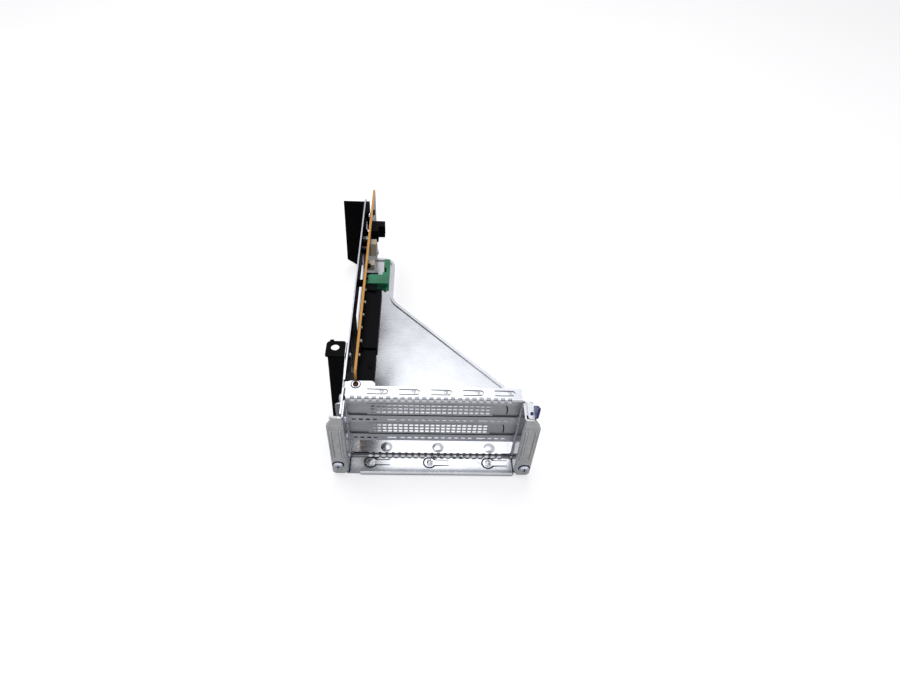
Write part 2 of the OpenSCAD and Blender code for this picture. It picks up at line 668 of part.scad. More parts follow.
module far_baffle() color([0.07, 0.07, 0.08]) {
    top = cage_h + baffle_t;
    x_out = -74.5;
    x_in = board_wall_x - baffle_t;
    difference() {
        union() {
            along_x(x_in, board_wall_x) rect([baffle_y[0], 8], [baffle_y[1], top]);
            along_z(cage_h, top) rect([x_in, baffle_y[0] + 1], [-52.8, baffle_y[1] - 2]);
            along_x(-wall_x, -52.8) rect([baffle_y[0] + 1, 50], [baffle_y[1] - 2, cage_h + eps]);
            along_y(baffle_y[1] - baffle_t, baffle_y[1])
                polygon([[x_in + eps, 4], [x_out, 15], [x_out, 64], [x_in + eps, 64]]);
            // stiffening ribs across the fin
            for (z = [24, 44]) along_y(baffle_y[1] - 2 * baffle_t, baffle_y[1])
                rect([x_out + 2, z], [x_in + eps, z + 1.2]);
        }
        translate([-62, baffle_screw[0], baffle_screw[1]]) rotate([0, 90, 0])
            cylinder(d = small_screw_d + 0.1, h = 12);
    }
}
module baffle_screw() color("silver")
    translate([-52.8, baffle_screw[0], baffle_screw[1]]) rotate([0, 90, 0])
        pan_screw(small_screw_d, 5.2, 5.4, 1.5);
module insulator() color([0.05, 0.05, 0.06])
    along_x(-wall_x, -wall_x + film_t) difference() {
        rect([film_y[0], 4], [film_y[1], cage_h - 2.5]);
        for (w = wall_windows) rect(w[0] - [1, 1], w[1] + [1, 1]);
        for (h = board_holes) translate(h) circle(standoff_d / 2 + 0.3);
        for (z = bracket_rivet_z) translate([bracket_rivet_y, z])
            circle(rivet_head[0] / 2 + 0.3);
    }

// ---- riser board and what it carries --------------------------------------
module riser_board() color("darkgreen") difference() {
    along_x(board_x, board_front_x) polygon([[board_y + 2, board_z],
        [board_y + board_l, board_z], [board_y + board_l, board_z + board_h - 1.5],
        [board_y + board_l - 1.5, board_z + board_h], [board_y + 1.5, board_z + board_h],
        [board_y, board_z + board_h - 1.5], [board_y, board_z + 2]]);
    for (h = board_holes) translate([board_x - 1, h[0], h[1]]) rotate([0, 90, 0])
        cylinder(d = small_screw_d + 0.2, h = board_t + 2);
}
module standoffs() color("silver") for (h = board_holes)
    translate([board_wall_x, h[0], h[1]]) rotate([0, 90, 0]) difference() {
        union() {
            cylinder(d = standoff_shank, h = st);
            translate([0, 0, st]) cylinder(d = standoff_d, h = board_gap);
        }
        translate([0, 0, -1]) cylinder(d = small_screw_d + 2 * fit, h = board_gap + 4);
    }
module board_screws() color("silver") for (h = board_holes)
    translate([board_front_x, h[0], h[1]]) rotate([0, 90, 0])
        pan_screw(small_screw_d, 6, 5.4, 1.7);

conn_top = board_front_x + conn_h;
slot_depth = 8;
slot_floor = conn_top - slot_depth;
first_contact = conn_y + 3;
key_after = 11;                         // contacts in front of the key rib
groove = [0.6, 0.9];                    // width and depth of a contact's groove
cheek_t = 1.6;
cheek_y = conn_y + conn_l + 15.5;
lever_z = [card_z - conn_t / 2 + 0.3, card_z + conn_t / 2 - 0.3];
function contact_at(k) = first_contact + k + (k < key_after ? 0 : 2);

module slot_connector() color([0.10, 0.10, 0.12]) {
    z0 = card_z - conn_t / 2;
    z1 = card_z + conn_t / 2;
    difference() {
        union() {
            along_x(board_front_x, conn_top) rect([conn_y, z0], [conn_y + conn_l, z1]);
            // thicker foot along the board
            along_x(board_front_x, board_front_x + 3)
                rect([conn_y, z0 - 0.6], [conn_y + conn_l, z1 + 0.6]);
            // housing and fork for the card latch
            along_x(board_front_x, board_front_x + 7.7) {
                rect([conn_y + conn_l - 3, z0 - cheek_t], [conn_y + conn_l, z1 + cheek_t]);
                for (z = [z0 - cheek_t, z1])
                    rect([conn_y + conn_l - 1, z], [cheek_y, z + cheek_t]);
            }
        }
        // card slot in two runs with the key rib between them
        for (run = [[conn_y + 2, contact_at(key_after - 1) + 0.9],
                    [contact_at(key_after) - 0.9, contact_at(contact_cols - 1) + 1.1]])
            along_x(slot_floor, conn_top + 1)
                rect([run[0], card_z - card_slot / 2], [run[1], card_z + card_slot / 2]);
        for (k = [0:contact_cols - 1])
            translate([slot_floor, contact_at(k) - groove[0] / 2,
                       card_z - card_slot / 2 - groove[1]])
                cube([slot_depth - 0.8, groove[0], card_slot + 2 * groove[1]]);
        translate([latch_x, latch_y, z0 - 2 * cheek_t])
            cylinder(d = latch_pin_d, h = conn_t + 4 * cheek_t);
    }
}
module slot_contacts() color("goldenrod") {
    blade = 0.25;
    wide = 0.36;
    spine = [[slot_floor, 1.45], [slot_floor + 1.5, 1.45], [conn_top - 2.6, 0.62],
        [conn_top - 1.3, 1.2]];
    for (k = [0:contact_cols - 1], s = [-1, 1])
        translate([0, 0, card_z]) scale([1, 1, s])
            along_y(contact_at(k) - wide / 2, contact_at(k) + wide / 2)
                polygon(concat(spine, reversed(shifted(spine, blade))));
}
module card_latch() color("seagreen") {
    x_out = board_front_x + 15.8;
    difference() {
        union() {
            along_z(lever_z[0], lever_z[1]) {
                translate([latch_x, latch_y]) circle(3);
                rect([latch_x, latch_y - 3], [x_out - 1, latch_y + 3]);
                rect([x_out - 5, latch_y - 3], [x_out, latch_y + 9.5]);
                rect([x_out - 2.3, latch_y + 9], [x_out, latch_y + 15]);
                rect([x_out - 4.2, latch_y + 15.4], [x_out, latch_y + 23]);
                translate([x_out - 3.2, latch_y + 15.4]) circle(1);
                rect([x_out - 3.2, latch_y + 14.4], [x_out, latch_y + 15.5]);
                translate([x_out - 3.2, latch_y + 23]) circle(1);
                rect([x_out - 3.2, latch_y + 22.9], [x_out, latch_y + 24]);
            }
            // hook that catches the card's heel
            along_z(card_z - 1.6, card_z + 1.6)
                polygon([[x_out - 3.4, latch_y - 3 + eps], [x_out - 3.4, latch_y - 6.4],
                    [x_out - 1.6, latch_y - 6.4], [x_out - 0.6, latch_y - 3 + eps]]);
        }
        translate([latch_x, latch_y, lever_z[0] - 1])
            cylinder(d = latch_pin_d + 2 * fit, h = conn_t + 2);
    }
}
module latch_pin() color("silver")
    translate([latch_x, latch_y, card_z - conn_t / 2 - cheek_t])
        cylinder(d = latch_pin_d, h = conn_t + 2 * cheek_t);

header_z = [56, 64.6];
header_rows = [58.2, 62.4];
module power_header() color([0.08, 0.08, 0.09]) {
    y1 = header_y + header_cols * header_pitch + 0.9;
    top = board_front_x + header_h;
    difference() {
        union() {
            along_x(board_front_x, top) rect([header_y, header_z[0]], [y1, header_z[1]]);
            // catch for the plug's latch
            along_y((header_y + y1) / 2 - 2.5, (header_y + y1) / 2 + 2.5)
                polygon([[top - 4, header_z[1] - eps], [top - 4, header_z[1] + 1.2],
                    [top - 1, header_z[1] - eps]]);
        }
        for (c = [0:header_cols - 1], z = header_rows)
            translate([board_front_x, header_y + 0.45 + (c + 0.5) * header_pitch, z]) {
                translate([1.6, -1.75, -1.75]) cube([header_h, 3.5, 3.5]);
                translate([-1, -pin_w / 2, -pin_w / 2]) cube([4, pin_w, pin_w]);
            }
    }
}
module power_pins() color("silver") for (c = [0:header_cols - 1], z = header_rows)
    translate([board_front_x, header_y + 0.45 + (c + 0.5) * header_pitch - pin_w / 2,
               z - pin_w / 2]) cube([header_h - 2.6, pin_w, pin_w]);

fan_y = 169;
module fan_header() color([0.08, 0.08, 0.09]) difference() {
    union() {
        along_x(board_front_x, board_front_x + 9.8) rect([fan_y, 55], [fan_y + 7, 66]);
        along_x(board_front_x, board_front_x + 5) rect([fan_y - 6, 55], [fan_y + 1, 66]);
    }
    along_x(board_front_x + 1.6, board_front_x + 12) rect([fan_y + 1.4, 56.4], [fan_y + 5.6, 64.6]);
    for (z = [57.2:2.2:64]) translate([board_front_x - 1, fan_y + 3.1, z]) cube([4, 0.8, 0.8]);
}
module fan_pins() color("silver") for (z = [57.2:2.2:64])
    translate([board_front_x, fan_y + 3.1, z]) cube([7.6, 0.8, 0.8]);

// Cable socket: a box open to +X with a row of pins
module cable_socket(y, l, z0, z1) {
    h = 4.4;
    color("wheat") difference() {
        along_x(board_front_x, board_front_x + h) rect([y, z0], [y + l, z1]);
        along_x(board_front_x + 1.2, board_front_x + h + 1)
            rect([y + 1, z0 + 1], [y + l - 1, z1 - 1]);
        for (z = [z0 + 2:1.5:z1 - 1.9]) translate([board_front_x - 1, y + l / 2 - 0.25, z - 0.25])
            cube([4, 0.5, 0.5]);
    }
}
module pin_row(y, l, z0, z1) color("silver") for (z = [z0 + 2:1.5:z1 - 1.9])
    translate([board_front_x, y + l / 2 - 0.25, z - 0.25]) cube([3.4, 0.5, 0.5]);
module cable_socket_rear() cable_socket(147, 6, 54, 66);
module cable_socket_front() cable_socket(123, 5.5, 60.6, 66);
module socket_pins() {
    pin_row(147, 6, 54, 66);
    pin_row(123, 5.5, 60.6, 66);
}
module board_parts() color([0.08, 0.08, 0.08]) {
    along_x(board_front_x, board_front_x + 7) rect([108, 68], [117, 71.6]);
    along_x(board_front_x, board_front_x + 1.3) rect([181, 65], [185, 71]);
}

// ---- earth contact behind the board ---------------------------------------
block_x = -wall_x + film_t + 2;
module ground_block() color([0.06, 0.06, 0.07])
    along_x(-wall_x + film_t, block_x) rect([172, 53], [183, cage_h - 2.6]);
module ground_spring() color("silver") {
    leaf = 0.3;
    spine = [[block_x, 180], [block_x, 171.6], [board_x - 0.9, 165.2], [board_x - leaf, 164],
        [board_x - leaf, 163], [board_x - 0.9, 161.9]];
    along_z(55, 62) polygon(concat(spine, reversed(shifted(spine, leaf))));
}

cage_shell();
slot_wall();
filler_top();
filler_middle();
strap_left();
strap_right();
strap_screws();
strap_nuts();
tab_clamp();
touch_fin();
rivets();
corner_screw();
corner_nut();
side_screw();
near_bracket();
far_baffle();
baffle_screw();
insulator();
riser_board();
standoffs();
board_screws();
slot_connector();
slot_contacts();
card_latch();
latch_pin();
power_header();
power_pins();
fan_header();
fan_pins();
cable_socket_rear();
cable_socket_front();
socket_pins();
board_parts();
ground_block();
ground_spring();
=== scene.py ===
# %% [markdown]
# # Riser cage bracket
# A folded steel cage that carries a riser board and three card slots. The solids come
# from the packed frame and stay where they are. This lesson gives them their finishes and
# softens some of their edges. It makes the baffle, the side bracket, the blue fin and the
# screw heads again in a finer form, and adds what is too small for the solids, such as the
# chips on the board.

# %% Load the frame
import math

import bmesh
import bpy
from mathutils import Matrix, Vector


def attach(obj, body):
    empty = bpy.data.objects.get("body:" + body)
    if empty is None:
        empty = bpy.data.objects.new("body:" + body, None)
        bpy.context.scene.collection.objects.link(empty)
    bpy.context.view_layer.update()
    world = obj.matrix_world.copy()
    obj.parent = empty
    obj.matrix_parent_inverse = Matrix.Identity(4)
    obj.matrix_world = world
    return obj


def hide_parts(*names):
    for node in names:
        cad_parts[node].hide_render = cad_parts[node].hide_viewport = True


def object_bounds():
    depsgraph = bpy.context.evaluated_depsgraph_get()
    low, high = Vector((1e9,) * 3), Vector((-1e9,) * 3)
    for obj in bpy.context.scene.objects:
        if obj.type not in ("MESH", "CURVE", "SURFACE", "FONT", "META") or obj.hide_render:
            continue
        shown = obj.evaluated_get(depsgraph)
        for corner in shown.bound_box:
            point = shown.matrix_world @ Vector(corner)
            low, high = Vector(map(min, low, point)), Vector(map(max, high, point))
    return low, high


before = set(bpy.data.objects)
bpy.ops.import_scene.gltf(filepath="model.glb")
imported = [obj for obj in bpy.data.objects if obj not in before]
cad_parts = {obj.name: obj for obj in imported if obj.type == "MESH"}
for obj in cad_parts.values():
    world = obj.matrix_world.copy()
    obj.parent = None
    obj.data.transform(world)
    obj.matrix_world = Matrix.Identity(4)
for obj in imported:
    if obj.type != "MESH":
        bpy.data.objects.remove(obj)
cad_low, cad_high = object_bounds()
MM = 0.001
scene = bpy.context.scene
print("nodes:", len(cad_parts), "box:", [round(v / MM, 1) for v in (*cad_low, *cad_high)])

# %% [markdown]
# A finish is a small program of shader nodes. Written out link by link it is hard to
# read, so a socket is wrapped in a class that understands + - and *. An expression on
# values then adds its own Math nodes, and 1 - mask works because the reflected forms are
# there too. Colours never go through Math nodes, which would turn them grey: they are
# mixed with a Mix node instead.

# %% Sockets as numbers
class Value:
    """An output socket that can be used in an expression."""

    def __init__(self, graph, socket):
        self.graph = graph
        self.socket = socket

    def math(self, operation, *others):
        return self.graph.node("ShaderNodeMath", {"operation": operation}, self, *others)

    def __add__(self, other):
        return self.math("ADD", other)

    def __radd__(self, other):
        return self.math("ADD", other)

    def __sub__(self, other):
        return self.math("SUBTRACT", other)

    def __rsub__(self, other):
        return self.graph.node("ShaderNodeMath", {"operation": "SUBTRACT"}, other, self)

    def __mul__(self, other):
        return self.math("MULTIPLY", other)

    def __rmul__(self, other):
        return self.math("MULTIPLY", other)

    def above(self, limit):
        return self.math("GREATER_THAN", limit)

    def below(self, limit):
        return self.math("LESS_THAN", limit)

    def magnitude(self):
        return self.math("ABSOLUTE")


print("a value has:", [name for name in vars(Value) if not name.startswith("__")])

# %% [markdown]
# Every node comes from one method, which sets the node up and fills its sockets. The
# methods after it are the few nodes that the finishes below ask for again and again: a
# noise in the part's own space, the direction of a surface, a mix of two colours, a soft
# step and a bump. Without them each finish would be several times as long.

# %% Node trees
NOISE_ROUGHNESS = 0.55                  # how much of each finer layer a noise keeps
NOT_COLOURS = (None,) * 5               # a Mix node's sockets for numbers and vectors


class Graph:
    """A node tree that is being built, of a material or of the world."""

    def __init__(self, tree):
        self.tree = tree

    def plug(self, socket, value):
        if isinstance(value, Value):
            self.tree.links.new(value.socket, socket)
        else:
            socket.default_value = value

    def add(self, kind, settings=None, *values, **named):
        """A node: its settings are set first, then its sockets, by place or by name."""
        made = self.tree.nodes.new(kind)
        for key, setting in (settings or {}).items():
            setattr(made, key, setting)
        for socket, value in zip(made.inputs, values):
            if value is not None:
                self.plug(socket, value)
        for key, value in named.items():
            self.plug(made.inputs[key.replace("_", " ")], value)
        return made

    def node(self, kind, settings=None, *values, out=0, **named):
        """A node that is wanted for one of its outputs."""
        return Value(self, self.add(kind, settings, *values, **named).outputs[out])

    def place(self):
        """Where a point lies on the part, in metres."""
        return self.node("ShaderNodeTexCoord", out="Object")

    def stretched(self, x, y, z):
        return self.node("ShaderNodeMapping", {}, Vector=self.place(), Scale=(x, y, z))

    def noise(self, scale, detail, where=None):
        return self.node("ShaderNodeTexNoise", {}, Vector=where or self.place(), Scale=scale,
                         Detail=detail, Roughness=NOISE_ROUGHNESS)

    def axes(self, vector):
        """The three numbers of a place or a direction."""
        split = self.add("ShaderNodeSeparateXYZ", {}, vector)
        return [Value(self, output) for output in split.outputs]

    def facing(self):
        """The surface's own direction, which doesn't depend on the camera."""
        return self.axes(self.node("ShaderNodeNewGeometry", out="True Normal"))

    def mix(self, factor, *colours):
        """The first colour where the factor is 0, and the second where it is 1."""
        colours = [each if isinstance(each, Value) else (*each, 1) for each in colours]
        return self.node("ShaderNodeMix", {"data_type": "RGBA"}, factor,
                         *NOT_COLOURS, *colours, out=2)

    def smooth(self, value, low, high):
        """A soft step: 0 at the low value, 1 at the high one."""
        return self.node("ShaderNodeMapRange", {"interpolation_type": "SMOOTHSTEP"}, value,
                         low, high)

    def bump(self, height, distance, strength):
        return self.node("ShaderNodeBump", {}, Height=height, Distance=distance,
                         Strength=strength)


print("a graph has:", [name for name in vars(Graph) if not name.startswith("__")])

# %% [markdown]
# A material here is one physically based shader whose colour, roughness and bump come
# from expressions. Colours are written as display levels, because that is how a colour
# is picked, and are turned into the linear light that the shader works in.

# %% Materials
class Finish(Graph):
    """A material that is being built. Its shader is one Principled BSDF."""

    def __init__(self, name):
        self.material = bpy.data.materials.new(name)
        self.material.use_nodes = True
        super().__init__(self.material.node_tree)
        self.tree.nodes.clear()
        self.shader = self.add("ShaderNodeBsdfPrincipled")
        self.add("ShaderNodeOutputMaterial", {}, Value(self, self.shader.outputs["BSDF"]))

    def done(self, colour, roughness, metallic=0.0, normal=None, coat=0.0, specular=0.5):
        sockets = {"Base Color": colour, "Roughness": roughness, "Metallic": metallic,
                   "Coat Weight": coat, "Specular IOR Level": specular}
        if normal:
            sockets["Normal"] = normal
        for name, value in sockets.items():
            self.plug(self.shader.inputs[name], value)
        print("finish:", self.material.name, "nodes:", len(self.tree.nodes))
        return self.material


def srgb(*levels):
    """A colour from display levels of 0 to 255, as the linear values that Blender wants."""
    shares = [level / 255 for level in levels]
    return tuple(s / 12.92 if s <= 0.04045 else ((s + 0.055) / 1.055) ** 2.4 for s in shares)


print("mid grey as light:", [round(level, 3) for level in srgb(128, 128, 128)])

# %% [markdown]
# Cage and slot wall are zinc-plated steel sheet. Where the press has sheared it, the zinc
# is gone and the bare steel is dark, which draws thin lines round every window and slot.
# These lines also stand for painted shade in the gaps behind the windows. Each cut face
# could be given a second material by hand, but there are hundreds. A mask finds them
# instead, by their place, which is within the sheet's thickness, and by their direction,
# which isn't the sheet's own. The same mask paints shade as well: on the whole lower fold,
# on the strip under the flange, and at half strength on the ears' sideways faces.

# %% Bare steel and painted shade
BARE_STEEL_AND_SHADE = srgb(38, 38, 42)
FLANGE_EDGE = 64.6                          # the top flange's cut edges lie above this
WALL = {"along": (-0.02, 2.1), "height": (3.2, 64.5)}       # the sheet with the windows
LOW_BAR, HIGH_BAR = (23.0, 25.0), (43.3, 45.3)              # between the three windows
BARS_START = -34                            # left of it, the bars' ends are cut as well
# the lower fold, painted dark all over as shade
LOWER_FOLD = {"along": (-1.4, 1.1), "height": (2.1, 4.75)}
# the strip under the flange, painted dark as its shadow
UNDER_FLANGE = {"along": (-12.6, 0.3), "height": 1.05}      # the strip in its shade
# the ears' sideways faces, painted half dark as shade
EARS = (-12.4, -0.6)                        # where the ears' cut faces lie
RIB_FLANKS = ((56.6, 56.95), (58.25, 58.65), (62.6, 62.95), (64.25, 64.6))
RIB_ENDS = (20.5, 52.5)


def within(value, low, high):
    """1 where a coordinate lies between two places that are given in millimetres."""
    return value.above(low * MM) * value.below(high * MM)


def cut_edges_and_shade(finish):
    """Bare steel on cut edges, and painted shade on fold, flange strip and ears: 1 is darkest.
    """
    side, front, up = (part.magnitude() for part in finish.facing())
    across, along, height = finish.axes(finish.place())
    top_flange = height.above(FLANGE_EDGE * MM) * up.below(0.2)
    wall = within(along, *WALL["along"]) * front.below(0.4) * within(height, *WALL["height"])
    bars = within(height, *LOW_BAR) + within(height, *HIGH_BAR)
    wall = wall * (1 - bars * across.above(BARS_START * MM) * 0.8)
    low_fold_shade = within(height, *LOWER_FOLD["height"]) * within(along, *LOWER_FOLD["along"])
    under_flange_shadow = (height.below(UNDER_FLANGE["height"] * MM)
                    * within(along, *UNDER_FLANGE["along"]) * up.above(0.5))
    ear_shade = within(along, *EARS) * side.above(0.6) * 0.5
    return (top_flange * 0.9 + wall * 0.85 + low_fold_shade * 0.8 + under_flange_shadow * 0.95 + ear_shade)


def rib_flank_shade(finish):
    """Painted shade in the narrow hollows on both sides of a strap's pressed ribs."""
    across, _, height = finish.axes(finish.place())
    side = across.magnitude()
    flanks = sum(within(side, *flank) for flank in RIB_FLANKS)
    return flanks * within(height, *RIB_ENDS)


print("bare steel as light:", [round(level, 3) for level in BARE_STEEL_AND_SHADE])

# %% [markdown]
# Plated sheet is satin, and it shows three things at different sizes: a fine grain from
# rolling, soft blotches where the plating is thicker, and short handling scratches. Each
# could be painted on its own, but they share one surface, so one function builds them all
# and the metals differ only in their numbers. The grain is a noise that is stretched along
# the rolling direction, and turned screws get it the same in every direction.

# %% Sheet steel
GRAIN_DEPTH = 0.006


def steel(name, dark, light, roughness, grain=(60, 900, 900), scratches=0.5, blotch=70,
          bare=False, shaded_ribs=False):
    """Metal with its grain, blotches and scratches, and bare edges and painted shade if asked.
    """
    finish = Finish(name)
    rolled = finish.noise(1.0, 3.0, finish.stretched(*grain))
    cloud = finish.noise(blotch, 5.0)
    fine = finish.noise(2600, 2.0)
    scratch_a = finish.noise(1.0, 2.0, finish.stretched(90, 1500, 700))
    scratch_b = finish.noise(1.0, 2.0, finish.stretched(1100, 120, 260))
    lines = finish.smooth(scratch_a, 0.66, 0.70) + finish.smooth(scratch_b, 0.67, 0.71)
    tone = finish.smooth(cloud, 0.2, 0.8) * 0.5 + rolled * 0.5
    colour = finish.mix(tone, dark, light)
    colour = finish.mix(lines * scratches * 0.5, colour, light)
    if bare:
        # bare steel on cut edges, and painted shade on the lower fold, under the flange and on
        # the ears
        colour = finish.mix(cut_edges_and_shade(finish), colour, BARE_STEEL_AND_SHADE)
    # painted shade beside the straps' pressed ribs
    if shaded_ribs:
        colour = finish.mix(rib_flank_shade(finish) * 0.5, colour, BARE_STEEL_AND_SHADE)
    rough = roughness + (cloud - 0.5) * 0.06 + (rolled - 0.5) * 0.08 - lines * 0.04 * scratches
    height = rolled * 0.6 + fine * 0.25 - lines * 0.4 * scratches
    normal = finish.bump(height, GRAIN_DEPTH * MM, 0.6)
    return finish.done(colour, rough, 1.0, normal)


zinc = steel("zinc_sheet", srgb(178, 180, 186), srgb(206, 208, 213), 0.27, bare=True)
filler_steel = steel("filler_steel", srgb(160, 161, 166), srgb(200, 201, 205), 0.3,
                     scratches=0.8)
strap_steel = steel("strap_steel", srgb(168, 169, 170), srgb(222, 223, 223), 0.5,
                    grain=(700, 700, 90), blotch=320, shaded_ribs=True)
screw_steel = steel("screw_steel", srgb(170, 178, 196), srgb(226, 230, 238), 0.2,
                    grain=(900, 900, 900), scratches=0.3)
bronze = steel("bronze_screw", srgb(44, 28, 20), srgb(92, 64, 46), 0.38,
               grain=(900, 900, 900), scratches=0.4)

# %% [markdown]
# The side bracket is steel under black paint, and the baffle, film and blocks are plastic,
# as are the blue fin, the green latch and the cream sockets. Paint has an orange-peel
# skin, moulded plastic has a fine texture from its tool, and film is almost smooth. A
# dark surface of one flat value looks like a hole, so the tone wanders a little and is
# lighter where hands have rubbed it.

# %% Paints and plastics
DULL = 0.04         # specular level of a dull black skin, where 0.5 is the usual one


def moulded(name, base, rubbed, roughness, skin, depth, specular=0.5):
    """Paint or plastic, with a skin of a given fineness and a depth in millimetres."""
    finish = Finish(name)
    cloud = finish.noise(55, 4.0)
    peel = finish.noise(skin, 2.0)
    rub = finish.smooth(finish.noise(150, 6.0), 0.55, 0.78)
    colour = finish.mix(finish.smooth(cloud, 0.35, 0.75) * 0.5 + rub * 0.35, base, rubbed)
    rough = roughness + (cloud - 0.5) * 0.18 + rub * 0.08
    return finish.done(colour, rough, 0.0, finish.bump(peel, depth * MM, 0.5),
                       specular=specular)


black_paint = moulded("black_paint", srgb(3, 3, 4), srgb(17, 17, 19), 0.42, 900, 0.02,
                      DULL)
black_plastic = moulded("black_plastic", srgb(3, 3, 4), srgb(14, 14, 17), 0.5, 1600, 0.02,
                        DULL)
black_film = moulded("black_film", srgb(3, 3, 4), srgb(12, 12, 14), 0.3, 300, 0.01, DULL)
connector_plastic = moulded("connector_plastic", srgb(4, 4, 7), srgb(18, 17, 23), 0.42,
                            2200, 0.012, DULL)
blue_plastic = moulded("blue_plastic", srgb(8, 12, 104), srgb(26, 34, 160), 0.42, 1500, 0.02)
green_plastic = moulded("green_plastic", srgb(2, 108, 70), srgb(20, 166, 116), 0.40, 1400,
                        0.015)
cream_plastic = moulded("cream_plastic", srgb(206, 190, 168), srgb(236, 220, 200), 0.45, 1500,
                        0.015)

# %% [markdown]
# The card contacts are gold over nickel, and the pins of headers and sockets are tinned.
# Both platings are thin, so they turn pale where a plug has wiped them. On pieces this
# small, a soft noise between two colours is all of the wear that can be seen.

# %% Plated contacts
def plated(name, gold, nickel):
    """A plated contact, pale where it has been wiped."""
    finish = Finish(name)
    wiped = finish.smooth(finish.noise(500, 3.0), 0.5, 0.75)
    colour = finish.mix(wiped * 0.5, gold, nickel)
    return finish.done(colour, 0.24 + wiped * 0.12, 1.0,
                       finish.bump(finish.noise(3000, 2.0), 0.004 * MM, 0.4))


contact_gold = plated("contact_gold", srgb(232, 190, 112), srgb(226, 222, 210))
pin_tin = plated("pin_tin", srgb(214, 214, 212), srgb(236, 234, 226))

# %% [markdown]
# A circuit board is a green-black mask over copper, pressed on layers of glass cloth. On
# its two faces the copper tracks stand a little proud under the mask. On its cut edge the
# cloth and the resin show as pale orange layers. Both are one material here: the surface's
# own direction says which of the two a point is on. Tracks could be modelled, but there are
# thousands of them, so a brick pattern stretched along the board makes the runs.

# %% Circuit board
GLASS_LAYER = 0.4       # thickness of one layer of glass cloth


def laminate():
    """The board: a mask with tracks on its faces, and orange layers on its cut edge."""
    finish = Finish("circuit_board")
    side, _, _ = finish.facing()
    on_edge = side.magnitude().below(0.5)
    across, along, up = finish.axes(finish.place())
    flat = finish.node("ShaderNodeCombineXYZ", {}, along, up, 0.0)
    runs = finish.node("ShaderNodeTexBrick", {"offset": 0.35}, Vector=flat, Scale=260.0,
                       Mortar_Size=0.012, Brick_Width=3.4, Row_Height=0.42, out="Fac")
    patches = finish.smooth(finish.noise(45, 2.0), 0.46, 0.52)
    tracks = runs * patches
    vias = finish.node("ShaderNodeTexVoronoi", {}, Vector=flat, Scale=420.0, Randomness=0.9,
                       out="Distance").below(0.13)
    mask = finish.mix(tracks * 0.8, srgb(8, 24, 17), srgb(24, 58, 40))
    mask = finish.mix(vias * patches * 0.8, mask, srgb(150, 156, 132))
    turns = across * (math.tau / (GLASS_LAYER * MM))
    layers = finish.node("ShaderNodeMath", {"operation": "SINE"}, turns)
    weave = finish.noise(1.0, 2.0, finish.stretched(2000, 500, 500))
    edge_mix = finish.smooth(weave + layers * 0.12, 0.3, 0.7)
    edge = finish.mix(edge_mix, srgb(220, 146, 62), srgb(250, 192, 104))
    colour = finish.mix(on_edge, mask, edge)
    rough = 0.34 + on_edge * 0.3 + (finish.noise(90, 3.0) - 0.5) * 0.1
    height = (tracks + vias * 0.5) * (1 - on_edge) + weave * on_edge
    return finish.done(colour, rough, 0.0, finish.bump(height, 0.02 * MM, 0.7),
                       coat=(1 - on_edge) * 0.25)


board_finish = laminate()

# %% [markdown]
# Every packed solid now takes its finish. A solid keeps its own mesh, and only the
# material in its slot changes.

# %% Dress the solids
FINISH_OF = {
    "cage_shell": zinc, "slot_wall": zinc, "tab_clamp": zinc,
    "filler_top": filler_steel, "filler_middle": filler_steel,
    "strap_left": strap_steel, "strap_right": strap_steel,
    "strap_screws": screw_steel, "strap_nuts": screw_steel, "rivets": screw_steel,
    "corner_screw": bronze, "corner_nut": screw_steel, "side_screw": screw_steel,
    "baffle_screw": screw_steel, "board_screws": screw_steel, "standoffs": black_paint,
    "latch_pin": screw_steel, "ground_spring": screw_steel,
    "near_bracket": black_paint, "far_baffle": black_plastic, "ground_block": black_plastic,
    "board_parts": black_plastic, "insulator": black_film,
    "touch_fin": blue_plastic, "card_latch": green_plastic,
    "cable_socket_rear": cream_plastic, "cable_socket_front": cream_plastic,
    "slot_connector": connector_plastic, "power_header": connector_plastic,
    "fan_header": connector_plastic,
    "slot_contacts": contact_gold, "power_pins": pin_tin, "fan_pins": pin_tin,
    "socket_pins": pin_tin, "riser_board": board_finish,
}
for name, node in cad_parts.items():
    node.data.materials.clear()
    node.data.materials.append(FINISH_OF[name])
print("dressed:", len(FINISH_OF), "solids")

# %% [markdown]
# No real edge is perfectly sharp. Stamped sheet has a small burr radius, and moulded
# plastic has the radius of its tool, and it is on these that light catches. A Bevel
# modifier cuts them without touching the mesh. The packed mesh is split along its hard
# edges, so a Weld modifier joins it first. The straps and most of the mouldings get this,
# and the thin sheet of the cage looks right as it is.

# %% Soften the edges
SOFT_MM = {"solid": 0.18, "piece": 0.12}        # width of a softened edge
WELD_MM = 0.002                                 # corners this close are one


def soften(node, width):
    """Round every edge that turns by more than 35 degrees."""
    weld = node.modifiers.new("join", "WELD")
    weld.merge_threshold = WELD_MM * MM
    bevel = node.modifiers.new("edge radius", "BEVEL")
    bevel.width = width * MM
    bevel.segments = 2
    bevel.limit_method = "ANGLE"
    bevel.angle_limit = math.radians(35)
    bevel.use_clamp_overlap = True
    bevel.harden_normals = True


SOFTENED = ("strap_left", "strap_right", "card_latch", "power_header", "fan_header",
            "cable_socket_rear", "cable_socket_front", "ground_block")
for name in SOFTENED:
    soften(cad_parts[name], SOFT_MM["solid"])
print("softened:", len(SOFTENED), "solids")

# %% [markdown]
# Some pieces are made again here, finer than their solids. A plate is an outline with a
# thickness. Most outlines are a rectangle with one radius for each corner, and a hole is a
# circle, so two functions give nearly all of them, as pairs of millimetres.

# %% Outlines
def circle(centre, radius, count=32):
    """Outline of a round hole or a round plate."""
    return [(centre[0] + radius * math.cos(math.tau * k / count),
             centre[1] + radius * math.sin(math.tau * k / count)) for k in range(count)]


